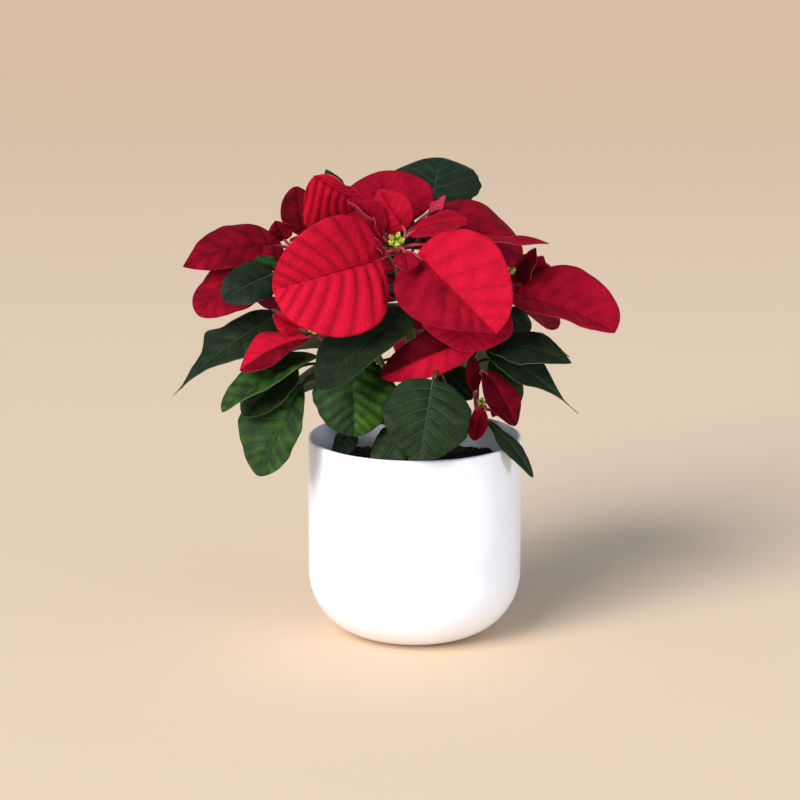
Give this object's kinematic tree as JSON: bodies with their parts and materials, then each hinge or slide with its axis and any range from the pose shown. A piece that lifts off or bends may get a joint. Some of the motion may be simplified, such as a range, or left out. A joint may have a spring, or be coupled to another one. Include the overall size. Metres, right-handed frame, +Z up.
{
  "type": "potted poinsettia",
  "caption": "Poinsettia with broad red bracts and dark green leaves, growing from soil in a plain white ceramic pot with a rounded foot.",
  "frame": {"origin": "middle of the pot's flat base", "axes": "+Z up along the pot's axis, -Y towards the side that was pictured, +X to the right in that view"},
  "size_m": [0.3033, 0.2274, 0.3275],
  "materials": {
    "glazed_ceramic": "satin",
    "potting_soil": "matte",
    "woody_stem": "matte",
    "leaf": "matte",
    "bract": "matte",
    "true_flower": "satin"
  },
  "bodies": {
    "root": {"pot": "glazed_ceramic", "soil": "potting_soil", "trunk": "woody_stem", "shoot_centre": "leaf", "bloom_centre": "bract", "flowers_centre": "true_flower", "shoot_left": "leaf", "bloom_left": "bract", "flowers_left": "true_flower", "shoot_right": "leaf", "bloom_right": "bract", "flowers_right": "true_flower", "shoot_low_left": "leaf", "bloom_low_left": "bract", "flowers_low_left": "true_flower", "shoot_low_right": "leaf", "bloom_low_right": "bract", "flowers_low_right": "true_flower", "shoot_front_right": "leaf", "bloom_front_right": "bract", "flowers_front_right": "true_flower", "shoot_back_left": "leaf", "bloom_back_left": "bract", "flowers_back_left": "true_flower", "shoot_back_right": "leaf", "bloom_back_right": "bract", "flowers_back_right": "true_flower", "shoot_back": "leaf", "bloom_back": "bract", "flowers_back": "true_flower"}
  },
  "joints": []
}
